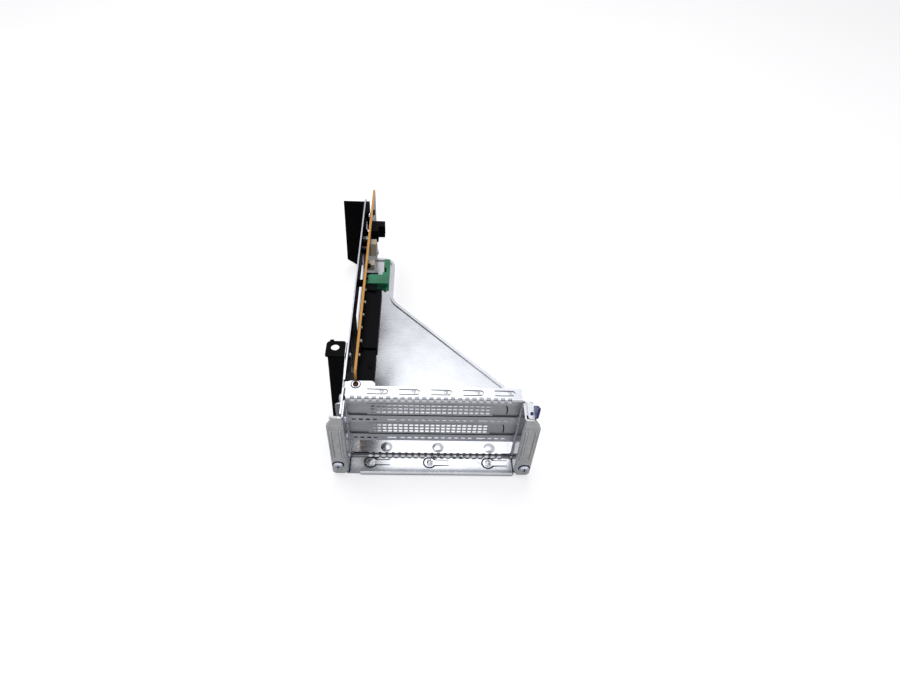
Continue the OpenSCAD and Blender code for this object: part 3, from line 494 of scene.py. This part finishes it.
def round_plate(low, high, radii, steps=6):
    """Outline of a rectangle, with one radius for each corner, from the low one round."""
    corners = [(low[0], low[1]), (high[0], low[1]), (high[0], high[1]), (low[0], high[1])]
    outline = []
    for quarter, (corner, radius) in enumerate(zip(corners, radii)):
        inward = (1 if quarter in (0, 3) else -1, 1 if quarter < 2 else -1)
        centre = [corner[i] + inward[i] * radius for i in (0, 1)]
        for k in range(steps + 1):
            angle = math.radians(180 + 90 * quarter + 90 * k / steps)
            outline.append((centre[0] + radius * math.cos(angle),
                            centre[1] + radius * math.sin(angle)))
    return outline


print("points of a hole and a plate:", len(circle((0, 0), 1)),
      len(round_plate((0, 0), (2, 2), (0.5,) * 4)))

# %% [markdown]
# A filled curve turns outlines into a plate at once, holes included. Each outline is drawn
# as a closed curve, pulled to its thickness and turned into a mesh, which then stands
# across one of the part's axes. A plate that leans can't be had like this, so a second
# function takes a flat ring of corners in space.

# %% Plates
TURN = {
    "x": Matrix(((0, 0, 1), (1, 0, 0), (0, 1, 0))).to_4x4(),
    "y": Matrix(((1, 0, 0), (0, 0, -1), (0, 1, 0))).to_4x4(),
    "z": Matrix.Identity(4),
}


def plate_mesh(name, outlines, axis, low, high):
    """A plate across an axis, from one place on it to another."""
    curve = bpy.data.curves.new(name, "CURVE")
    curve.dimensions = "2D"
    curve.fill_mode = "BOTH"
    curve.extrude = (high - low) / 2 * MM
    for outline in outlines:
        spline = curve.splines.new("POLY")
        spline.points.add(len(outline) - 1)
        for point, (u, v) in zip(spline.points, outline):
            point.co = (u * MM, v * MM, 0, 1)
        spline.use_cyclic_u = True
    drawn = bpy.data.objects.new(name, curve)
    scene.collection.objects.link(drawn)
    graph = bpy.context.evaluated_depsgraph_get()
    mesh = bpy.data.meshes.new_from_object(drawn.evaluated_get(graph))
    bpy.data.objects.remove(drawn)
    halfway = (low + high) / 2 * MM
    offset = Matrix.Translation((0, 0, -halfway if axis == "y" else halfway))
    mesh.transform(TURN[axis] @ offset)
    return mesh


def slab(corners, thickness):
    """A plate through any flat ring of corners, with a thickness given as a direction."""
    count = len(corners)
    points = [Vector(c) * MM for c in corners]
    points += [point + Vector(thickness) * MM for point in points]
    sides = [(k, k + count, (k + 1) % count + count, (k + 1) % count) for k in range(count)]
    ends = [tuple(range(count)), tuple(reversed(range(count, 2 * count)))]
    mesh = bpy.data.meshes.new("slab")
    mesh.from_pydata(points, [], [*ends, *sides])
    return mesh


print("plates can stand across:", list(TURN))

# %% [markdown]
# Several plates make one piece. The piece takes a finish, rides on a body of the part, says
# which solid it stands in for, and has its edges softened as the solids have.

# %% Pieces
def join(meshes):
    """One mesh from several."""
    shape = bmesh.new()
    for mesh in meshes:
        shape.from_mesh(mesh)
    joined = meshes[0].copy()
    shape.to_mesh(joined)
    shape.free()
    return joined


def piece(name, mesh, finish, body="cage", replaces=(), rounded=True):
    """A dressed piece of the part, in place of the solids that it names."""
    made = bpy.data.objects.new(name, mesh)
    mesh.materials.clear()
    mesh.materials.append(finish)
    scene.collection.objects.link(made)
    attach(made, body)
    if replaces:
        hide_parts(*replaces)
    if rounded:
        soften(made, SOFT_MM["piece"])
    print("made:", name, "faces:", len(mesh.polygons))
    return made


print("solids that can be replaced:", len(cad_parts))


# %% [markdown]
# The rear baffle is a thin black moulding. A tall fin stands outside the board wall and
# comes down almost to the floor, with its outer lower corner cut away. A small block on
# the inside carries the screw, and the wall's bright edge runs between the two. The fin
# leans, so it is a slab, and the rest are plates across the wall.

# %% Rear baffle
WALL_OUTSIDE = -57.05       # the plates outside the board wall end here
BEHIND_WALL = -55.9         # and those inside it start here
tall_fin = slab([(-74.4, 203.6, 63.6), (-74.4, 197.6, 6.6), (-66.0, 196.6, 1.2),
                 (-58.2, 196.6, 1.2), (-58.2, 203.6, 63.6)], (0, 1.2, 0))
seat = plate_mesh("seat", [round_plate((186.5, 8.0), (204.8, 63.6), (2, 0.2, 0.2, 2))],
                  "x", -58.3, WALL_OUTSIDE)
screw_block = plate_mesh("block", [round_plate((187.0, 52.0), (203.0, 65.4), (0.5,) * 4)],
                         "x", BEHIND_WALL, -52.9)
arm = plate_mesh("arm", [round_plate((197.0, 40.0), (203.0, 52.5), (0.5,) * 4)],
                 "x", BEHIND_WALL, -54.4)
piece("rear_baffle", join([tall_fin, seat, screw_block, arm]), black_plastic,
      replaces=["far_baffle"])

# %% [markdown]
# The side bracket is black-painted steel. Its front face leans a little forward towards
# the floor and narrows on the way. The tab at the top is folded back, with one hole for
# the chassis screw and a small nub on its rear edge.

# %% Side bracket
TAB = (63.0, 64.0)          # underside and top of the folded tab
face = slab([(-69.2, 35.0, 63.2), (-70.2, 31.5, 1.2), (-65.6, 31.5, 1.2),
             (-58.1, 35.0, 63.2)], (0, 1.0, 0))
wall_flange = plate_mesh("wall_flange", [round_plate((35.0, 7.0), (49.0, 62.5), (1,) * 4)],
                         "x", -58.0, WALL_OUTSIDE)
tab = plate_mesh("tab", [round_plate((-71.0, 35.2), (-58.4, 48.6), (1.2, 0.6, 1.6, 3.0)),
                         circle((-65.1, 43.2), 2.8)], "z", *TAB)
nub = plate_mesh("nub", [round_plate((-69.0, 48.0), (-66.2, 49.9), (0.3, 0.3, 0.8, 0.8))],
                 "z", *TAB)
piece("side_bracket", join([face, wall_flange, tab, nub]), black_paint,
      replaces=["near_bracket"])

# %% [markdown]
# In front of the bracket, high on the outside of the board wall, a short zinc tab stands
# out level with the slot wall. Its outer upper corner is the roundest, so it is one plate
# with four radii.

# %% Wall tab
wall_tab = round_plate((-61.2, 47.0), (-57.02, 61.2), (1.5, 0.1, 0.1, 2.4))
piece("wall_tab", plate_mesh("wall_tab", [wall_tab], "y", -0.6, 0.4), zinc)

# %% [markdown]
# The clamp's ear is a flat zinc plate over the fillers' tabs. The blue touch fin is held
# from below: its foot lies under the ear, only the end of its stake shows on top, and the
# fin rises past the ear's right edge.

# %% Clamp ear and touch fin
EAR = (64.12, 64.5)         # underside and top of the ear
ear = round_plate((57.0, -11.7), (61.0, 0.8), (0.6, 0.6, 3.0, 0.6))
piece("clamp_ear", plate_mesh("ear", [ear], "z", *EAR), zinc)
stake = plate_mesh("stake", [circle((59.3, -8.4), 1.05, 24)], "z", EAR[1], 65.0)
upright = plate_mesh("fin", [[(-2.6, 62.6), (-2.6, 65.0), (-7.3, 71.0), (-12.9, 75.8),
                              (-12.9, 66.5), (-11.0, 62.6)]], "x", 61.15, 62.65)
foot = plate_mesh("foot", [round_plate((58.0, -10.4), (61.2, -6.6), (0.3,) * 4)],
                  "z", 62.4, 63.05)
piece("blue_fin", join([upright, stake, foot]), blue_plastic, replaces=["touch_fin"])

# %% [markdown]
# The card latch reaches over the fork that it turns in. Its upper cheek is a flat green
# plate, rounded about the pin so that it clears the board when the latch swings. It rides
# on the latch's body, so it turns with the latch and needs no pose of its own.

# %% Latch cheek
PIN = (-45.1, 106.5)
CHEEK_RADIUS = 3.4
cheek = [(PIN[0] + CHEEK_RADIUS * math.cos(a), PIN[1] + CHEEK_RADIUS * math.sin(a))
         for a in (math.radians(180 - 15 * k) for k in range(7))]
cheek += [(-34.2, 109.9), (-33.0, 108.6), (-33.0, 101.6), (-34.0, 100.6), (-48.5, 100.6)]
piece("latch_cheek", plate_mesh("cheek", [cheek], "z", 67.4, 68.6), green_plastic, "latch")

# %% [markdown]
# Three small black parts stand on the front of the board, near its upper edge. At this
# size a block with soft edges says enough.

# %% Small board parts
def board_block(low, high):
    """A moulded block on the board: each corner's depth, height and place across it."""
    return plate_mesh("block", [round_plate(low[:2], high[:2], (0.3,) * 4)], "x",
                      low[2], high[2])


FACE = -48.65       # the board's front face
piece("small_parts", join([board_block((115.5, 69.2, FACE), (118.5, 71.4, -46.4)),
                           board_block((181.5, 67.0, FACE), (184.5, 70.6, -47.4)),
                           board_block((102.5, 69.6, FACE), (104.5, 71.2, -47.2))]),
      black_plastic, replaces=["board_parts"])

# %% [markdown]
# A pan-head screw is turned and then punched. The head is a profile spun about its axis,
# and the cross is cut out of it with a Boolean. A bump in the material could hint at the
# cross, but it would vanish at a low angle and in the exported mesh.

# %% Turned and punched shapes
CROSS_WIDTH = 0.8       # of a driver's blade


def stand(place, direction):
    """From a shape along z at the origin to one at a place, in metres."""
    turn = Vector(direction).to_track_quat("Z", "Y").to_matrix().to_4x4()
    return Matrix.Translation(Vector(place) * MM) @ turn


def turned(profile, place, direction, count=40):
    """A profile of (radius, height) pairs, spun about an axis through a place."""
    points, faces = [], []
    for k in range(count):
        angle = math.tau * k / count
        points += [(r * math.cos(angle), r * math.sin(angle), h) for r, h in profile]
    rings = len(profile)
    for k in range(count):
        here, there = k * rings, (k + 1) % count * rings
        faces += [(here + i, there + i, there + i + 1, here + i + 1)
                  for i in range(rings - 1)]
    faces.append([k * rings for k in reversed(range(count))])
    faces.append([k * rings + rings - 1 for k in range(count)])
    mesh = bpy.data.meshes.new("turned")
    mesh.from_pydata(points, [], faces)
    mesh.transform(stand(place, direction) @ Matrix.Scale(MM, 4))
    for face in mesh.polygons[:-2]:
        face.use_smooth = True
    return mesh


def cross(place, direction, reach, depth):
    """A cross-shaped plate: how far its arms reach, and how far it goes up and down."""
    half = CROSS_WIDTH / 2
    outline = [(reach, -half), (reach, half), (half, half), (half, reach), (-half, reach),
               (-half, half), (-reach, half), (-reach, -half), (-half, -half),
               (-half, -reach), (half, -reach), (half, -half)]
    mesh = plate_mesh("cross", [outline], "z", -depth, depth)
    mesh.transform(stand(place, direction))
    return mesh


def cut_away(mesh, cutter):
    """The first mesh less the second."""
    body = bpy.data.objects.new("body", mesh)
    tool = bpy.data.objects.new("tool", cutter)
    for each in (body, tool):
        scene.collection.objects.link(each)
    boolean = body.modifiers.new("cut", "BOOLEAN")
    boolean.object = tool
    boolean.solver = "EXACT"
    graph = bpy.context.evaluated_depsgraph_get()
    cut = bpy.data.meshes.new_from_object(body.evaluated_get(graph))
    for each in (body, tool):
        bpy.data.objects.remove(each)
    return cut


print("a cross has", len(cross((0, 0, 0), (0, 0, 1), 2, 1).polygons), "faces")

# %% [markdown]
# The screws through the straps and the board wall are bright, and the corner screw is
# small and brown, in a bright washer that is wider than its head. One function makes all
# the heads, from the profile of a pan head given as shares of its radius and height.

# %% Screw heads
PAN = ((0.96, 0), (1, 0.1), (1, 0.35), (0.93, 0.62), (0.78, 0.84), (0.52, 0.96))
TIP = 0.05              # the profile stops just short of the axis
STRAP_SCREW = ((-61.3, -14.0, 12.6), (61.3, -14.0, 10.6))
CORNER = (-49.0, 11.1)
SIDE_SCREW = (-57.0, 5.35, 59.0)
UP, FORWARD, LEFT = (0, 0, 1), (0, -1, 0), (-1, 0, 0)


def pan_head(place, direction, diameter, height, shank):
    """A screw's head with its cross recess, on a shank of a given diameter and length."""
    r = diameter / 2
    profile = [(shank[0] / 2, -shank[1]), (shank[0] / 2, 0),
               *((r * share, height * rise) for share, rise in PAN), (TIP, height)]
    top = Vector(place) + Vector(direction) * height
    return cut_away(turned(profile, place, direction),
                    cross(top, direction, r * 0.55, height * 0.5))


strap_heads = [pan_head(place, FORWARD, 6.6, 2.2, shank=(3.4, 4.5)) for place in STRAP_SCREW]
piece("strap_screw_heads", join(strap_heads), screw_steel, replaces=["strap_screws"])
piece("corner_screw_head", pan_head((*CORNER, 65.95), UP, 3.7, 1.2, shank=(2.8, 4.0)),
      bronze, replaces=["corner_screw"])
washer = plate_mesh("washer", [circle(CORNER, 2.55, 40), circle(CORNER, 1.6)],
                    "z", 65.72, 66.0)
piece("corner_washer", washer, screw_steel)
piece("side_screw_head", pan_head(SIDE_SCREW, LEFT, 6.0, 2.2, shank=(2.9, 3.0)),
      screw_steel, replaces=["side_screw"])

# %% [markdown]
# Painted shade marks the two places that no light reaches: a thin line round each head,
# and the bottom of its cross. Both are dark plates just proud of the surface below them.
# As part of the steel's own finish they would need the place of every screw.

# %% Painted shade at the screws
RING = 0.6              # width of the dark line round a head
FLOOR = 0.1             # half the thickness of the dark plate in a cross


def shade_ring(centre, radius, axis, low, high):
    """Painted shade on the sheet: a dark line round a screw's head."""
    return plate_mesh("ring", [circle(centre, radius + RING, 40), circle(centre, radius, 40)],
                      axis, low, high)


shade_marks = [shade_ring((x, z), 3.3, "y", -14.15, -13.98) for x, _, z in STRAP_SCREW]
shade_marks += [cross((x, y - 1.6, z), FORWARD, 1.8, FLOOR) for x, y, z in STRAP_SCREW]
shade_marks += [shade_ring(CORNER, 2.55, "z", 65.7, 65.85),
          cross((*CORNER, 66.6), UP, 1.0, FLOOR),
          shade_ring(SIDE_SCREW[1:], 3.0, "x", -57.08, -56.98)]
# black plates as painted shade round the heads and in the crosses
piece("screw_shade_marks", join(shade_marks), black_paint, rounded=False)

# %% [markdown]
# The flanges that the straps are screwed to are cut to the same slant as the straps, so
# that no zinc looks out behind a strap's corner. The solid stays as it is: its mesh is
# copied, its split edges are joined, and a prism is taken away from the copy.

# %% Slanted flange corners
SLANT = [(60.3, 64.9), (65.55, 56.0), (66.5, 56.0), (66.5, 64.9)]
mirrored = [(-x, z) for x, z in reversed(SLANT)]


def trimmed(name, cutter, finish):
    """A solid's mesh less a prism, in place of the solid."""
    shape = bmesh.new()
    shape.from_mesh(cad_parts[name].data)
    bmesh.ops.remove_doubles(shape, verts=shape.verts, dist=WELD_MM * MM)
    mesh = bpy.data.meshes.new(name + "_trimmed")
    shape.to_mesh(mesh)
    shape.free()
    cut = cut_away(mesh, cutter)
    cut.shade_smooth()
    cut.set_sharp_from_angle(angle=math.radians(30))
    made = piece(name + "_trimmed", cut, finish, replaces=[name], rounded=False)
    flats = made.modifiers.new("flat faces stay flat", "WEIGHTED_NORMAL")
    flats.keep_sharp = True
    flats.weight = 100


trimmed("slot_wall", join([plate_mesh("slant", [outline], "y", -13.4, -11.9)
                           for outline in (SLANT, mirrored)]), zinc)
trimmed("tab_clamp", plate_mesh("slant", [SLANT], "y", -12.1, -10.4), zinc)

# %% [markdown]
# Beside each filler's pan a curved line is pressed. It is a groove and not a slit, so a
# thin floor closes it from behind, black as painted shade in the groove.

# %% Groove floors in painted shade
SLOT_MIDDLES = (34.63, 54.95)       # heights of the two filled slots
shade_floors = [plate_mesh("floor", [round_plate((44.0, z - 5.2), (48.0, z + 5.2), (0.3,) * 4)],
                     "y", 1.5, 1.95) for z in SLOT_MIDDLES]
# black floors as painted shade in the grooves
piece("groove_shade_floors", join(shade_floors), black_paint, rounded=False)

# %% [markdown]
# Along the board's upper front edge sit rows of tiny chip capacitors and resistors. They
# are blocks of a few sizes, some black and some pale, and a loop sets them down. Copies
# of one block would do as well, but then all would be the same size.

# %% Chips on the board
CHIP_LENGTH = 1.8
ROW_TOP = 71.4
pale, dark = [], []
for k, y in enumerate(range(28, 94, 3)):
    tall = 1.0 + 0.4 * (k % 3)
    top = ROW_TOP - 1.1 * (k % 2)
    chip = board_block((y, top - tall, FACE), (y + CHIP_LENGTH, top, FACE + 0.7 + 0.3 * (k % 3)))
    (pale if k % 4 == 1 else dark).append(chip)
piece("dark_chips", join(dark), black_plastic)
piece("pale_chips", join(pale), cream_plastic)

# %% [markdown]
# The floor is a plain pale sheet. A glow that only the camera sees keeps it pale without
# lighting the part, and the matt surface under the glow still takes the part's shadow.
# Light Path tells the camera's rays from the others.

# %% Floor
FLOOR_HALF = 3.0                    # metres from the middle to each side
FLOOR_DROP = 0.02                   # below the part's feet, so that no faces coincide
FLOOR_GLOW = (0.52, 0.52, 0.525)


def ray_is(graph, *kinds):
    """1 where a ray is of one of the kinds that Light Path names."""
    path = graph.add("ShaderNodeLightPath")
    return sum(Value(graph, path.outputs[f"Is {kind} Ray"]) for kind in kinds)


def studio_floor():
    """The floor's material: a glow for the camera over a matt surface for the shadow."""
    finish = Finish("studio_floor")
    glow = finish.mix(ray_is(finish, "Camera"), (0, 0, 0), FLOOR_GLOW)
    finish.plug(finish.shader.inputs["Emission Color"], glow)
    finish.shader.inputs["Emission Strength"].default_value = 1.0
    tone = finish.noise(3.0, 2.0)
    return finish.done(finish.mix(tone, srgb(238, 238, 240), srgb(246, 246, 248)), 0.9,
                       specular=0.1)


half = FLOOR_HALF
mesh = bpy.data.meshes.new("studio_floor")
corners = [(-half, -half, 0), (half, -half, 0), (half, half, 0), (-half, half, 0)]
mesh.from_pydata(corners, [], [(0, 1, 2, 3)])
floor = bpy.data.objects.new("studio_floor", mesh)
floor.data.materials.append(studio_floor())
floor.location.z = -FLOOR_DROP * MM
scene.collection.objects.link(floor)
print("floor:", 2 * FLOOR_HALF, "m wide")

# %% [markdown]
# The light is a large soft box above the part and a weaker one at its right, as in a
# product studio. The world looks white to the camera and in reflections, where it stands
# for the walls of the room, and it gives less to surfaces that are lit, so that folds and
# gaps stay dark. One bright world would light them all alike and flatten the part.

# %% Room and lamps
ROOM_SEEN = (0.98, 0.98, 1.0)       # the room in a reflection and behind the part
ROOM_LIGHT = (0.34, 0.34, 0.34)     # the room as a source of light


def soft_box(name, size, energy, place, aim):
    """A rectangle of light, in metres and watts."""
    lamp = bpy.data.lights.new(name, "AREA")
    lamp.shape = "RECTANGLE"
    lamp.size, lamp.size_y = size
    lamp.energy = energy
    box = bpy.data.objects.new(name, lamp)
    box.location = place
    box.rotation_euler = (Vector(aim) - Vector(place)).to_track_quat("-Z", "Y").to_euler()
    scene.collection.objects.link(box)


world = bpy.data.worlds.new("studio")
world.use_nodes = True
scene.world = world
room = Graph(world.node_tree)
seen = ray_is(room, "Camera", "Glossy", "Transmission")
room.plug(world.node_tree.nodes["Background"].inputs["Color"],
          room.mix(seen, ROOM_LIGHT, ROOM_SEEN))
middle = (cad_low + cad_high) / 2
soft_box("key_box", (0.9, 0.7), 3.4, (-0.15, 0.35, 0.95), middle)
soft_box("fill_box", (0.8, 0.5), 0.6, (0.75, -0.35, 0.6), middle)
scene.view_settings.view_transform = "Standard"
print("lamps:", [lamp.name for lamp in bpy.data.lights])

# %% [markdown]
# The camera looks down at the slot wall from the front. Its angles and lens come from the
# straight edges of the cage: the three windows fix the scale, and the edges that run back
# fix the tilt.

# %% Camera
PITCH, YAW, ROLL = (math.radians(a) for a in (47.37, 4.25, 4.32))
EYE = (-11.14, -236.97, 380.67)
SENSOR, FOCAL = 36, 25.62           # millimetres
forward = Vector((math.sin(YAW) * math.cos(PITCH), math.cos(YAW) * math.cos(PITCH),
                  -math.sin(PITCH)))
level = Vector((math.cos(YAW), -math.sin(YAW), 0))
upward = level.cross(forward)
right = math.cos(ROLL) * level + math.sin(ROLL) * upward
top = -math.sin(ROLL) * level + math.cos(ROLL) * upward
eye = Vector(EYE) * MM
lens = bpy.data.cameras.new("camera")
lens.sensor_width = SENSOR
lens.lens = FOCAL
lens.clip_start = 0.01
camera = bpy.data.objects.new("camera", lens)
turn = Matrix((right, top, -forward)).transposed().to_4x4()
camera.matrix_world = Matrix.Translation(eye) @ turn
scene.collection.objects.link(camera)
scene.camera = camera
print("camera at", [round(v / MM, 1) for v in eye])

# %% [markdown]
